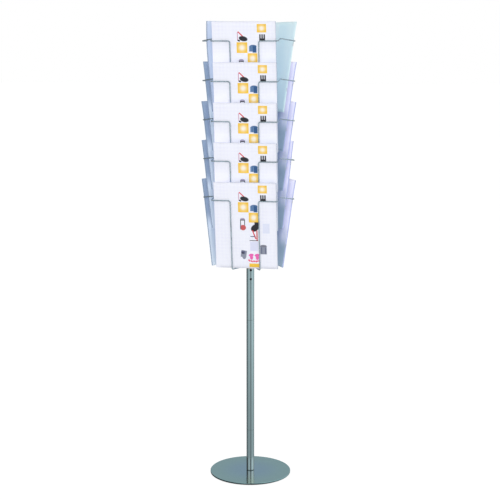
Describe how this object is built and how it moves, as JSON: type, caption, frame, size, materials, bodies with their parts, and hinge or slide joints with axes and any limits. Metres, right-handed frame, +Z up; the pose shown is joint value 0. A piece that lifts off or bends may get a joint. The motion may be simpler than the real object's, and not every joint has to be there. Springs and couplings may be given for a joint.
{
  "type": "brochure rack",
  "caption": "Floor-standing rack whose three-sided wire frame of tiered brochure pockets turns on a fixed steel pole with a round base plate.",
  "frame": {"origin": "on the floor, on the axis of the pole", "axes": "+Z up along the pole; -Y is the way the front face of pockets looks; +X is to the right as seen from the front"},
  "size_m": [0.3184, 0.2934, 1.5557],
  "materials": {
    "brushed_steel": "vertically brushed satin",
    "wire": "satin chrome",
    "zinc_steel": "bright zinc plated",
    "black_steel": "black oxide",
    "brass": "plain turned",
    "nylon": "natural moulded",
    "black_plastic": "fine moulded texture",
    "felt": "pressed felt",
    "cover_paper": "coated cover sheet, printed"
  },
  "bodies": {
    "stand": {"base_pad": "felt", "base_plate": "brushed_steel", "base_bolt": "zinc_steel", "foot_plug": "zinc_steel", "foot_ring": "black_plastic", "pole_lower": "brushed_steel", "pole_middle": "brushed_steel", "pole_upper": "brushed_steel", "pole_couplers": "zinc_steel", "spindle": "zinc_steel", "spindle_screws": "black_steel", "thrust_washer": "brass", "spindle_washer": "zinc_steel", "spindle_nut": "zinc_steel"},
    "rack": {"rotor_tube": "brushed_steel", "lower_bush": "nylon", "upper_bush": "nylon", "top_cap": "black_plastic", "hub_screws": "black_steel", "tier_1_hub": "brushed_steel", "tier_2_hub": "brushed_steel", "tier_3_hub": "brushed_steel", "tier_4_hub": "brushed_steel", "tier_5_hub": "brushed_steel", "tier_1_wire_right": "wire", "tier_1_wire_back": "wire", "tier_1_wire_left": "wire", "tier_2_wire_right": "wire", "tier_2_wire_back": "wire", "tier_2_wire_left": "wire", "tier_3_wire_right": "wire", "tier_3_wire_back": "wire", "tier_3_wire_left": "wire", "tier_4_wire_right": "wire", "tier_4_wire_back": "wire", "tier_4_wire_left": "wire", "tier_5_wire_right": "wire", "tier_5_wire_back": "wire", "tier_5_wire_left": "wire"},
    "stack_1_front": {"brochures_1_front": "cover_paper"},
    "stack_1_right": {"brochures_1_right": "cover_paper"},
    "stack_1_left": {"brochures_1_left": "cover_paper"},
    "stack_2_front": {"brochures_2_front": "cover_paper"},
    "stack_2_right": {"brochures_2_right": "cover_paper"},
    "stack_2_left": {"brochures_2_left": "cover_paper"},
    "stack_3_front": {"brochures_3_front": "cover_paper"},
    "stack_3_right": {"brochures_3_right": "cover_paper"},
    "stack_3_left": {"brochures_3_left": "cover_paper"},
    "stack_4_front": {"brochures_4_front": "cover_paper"},
    "stack_4_right": {"brochures_4_right": "cover_paper"},
    "stack_4_left": {"brochures_4_left": "cover_paper"},
    "stack_5_front": {"brochures_5_front": "cover_paper"},
    "stack_5_right": {"brochures_5_right": "cover_paper"},
    "stack_5_left": {"brochures_5_left": "cover_paper"}
  },
  "joints": [
    {"name": "rack_spin", "type": "hinge", "parent": "stand", "child": "rack", "pos_m": [0, 0, 0.73], "axis": [0, 0, 1], "continuous": true},
    {"name": "lift_1_front", "type": "slide", "parent": "rack", "child": "stack_1_front", "axis": [0, -0.1444, 0.9895], "range_m": [0, 0.25]},
    {"name": "lift_1_right", "type": "slide", "parent": "rack", "child": "stack_1_right", "axis": [0.125, 0.0722, 0.9895], "range_m": [0, 0.25]},
    {"name": "lift_1_left", "type": "slide", "parent": "rack", "child": "stack_1_left", "axis": [-0.125, 0.0722, 0.9895], "range_m": [0, 0.25]},
    {"name": "lift_2_front", "type": "slide", "parent": "rack", "child": "stack_2_front", "axis": [0, -0.1444, 0.9895], "range_m": [0, 0.25]},
    {"name": "lift_2_right", "type": "slide", "parent": "rack", "child": "stack_2_right", "axis": [0.125, 0.0722, 0.9895], "range_m": [0, 0.25]},
    {"name": "lift_2_left", "type": "slide", "parent": "rack", "child": "stack_2_left", "axis": [-0.125, 0.0722, 0.9895], "range_m": [0, 0.25]},
    {"name": "lift_3_front", "type": "slide", "parent": "rack", "child": "stack_3_front", "axis": [0, -0.1444, 0.9895], "range_m": [0, 0.25]},
    {"name": "lift_3_right", "type": "slide", "parent": "rack", "child": "stack_3_right", "axis": [0.125, 0.0722, 0.9895], "range_m": [0, 0.25]},
    {"name": "lift_3_left", "type": "slide", "parent": "rack", "child": "stack_3_left", "axis": [-0.125, 0.0722, 0.9895], "range_m": [0, 0.25]},
    {"name": "lift_4_front", "type": "slide", "parent": "rack", "child": "stack_4_front", "axis": [0, -0.1444, 0.9895], "range_m": [0, 0.25]},
    {"name": "lift_4_right", "type": "slide", "parent": "rack", "child": "stack_4_right", "axis": [0.125, 0.0722, 0.9895], "range_m": [0, 0.25]},
    {"name": "lift_4_left", "type": "slide", "parent": "rack", "child": "stack_4_left", "axis": [-0.125, 0.0722, 0.9895], "range_m": [0, 0.25]},
    {"name": "lift_5_front", "type": "slide", "parent": "rack", "child": "stack_5_front", "axis": [0, -0.1444, 0.9895], "range_m": [0, 0.25]},
    {"name": "lift_5_right", "type": "slide", "parent": "rack", "child": "stack_5_right", "axis": [0.125, 0.0722, 0.9895], "range_m": [0, 0.25]},
    {"name": "lift_5_left", "type": "slide", "parent": "rack", "child": "stack_5_left", "axis": [-0.125, 0.0722, 0.9895], "range_m": [0, 0.25]}
  ]
}
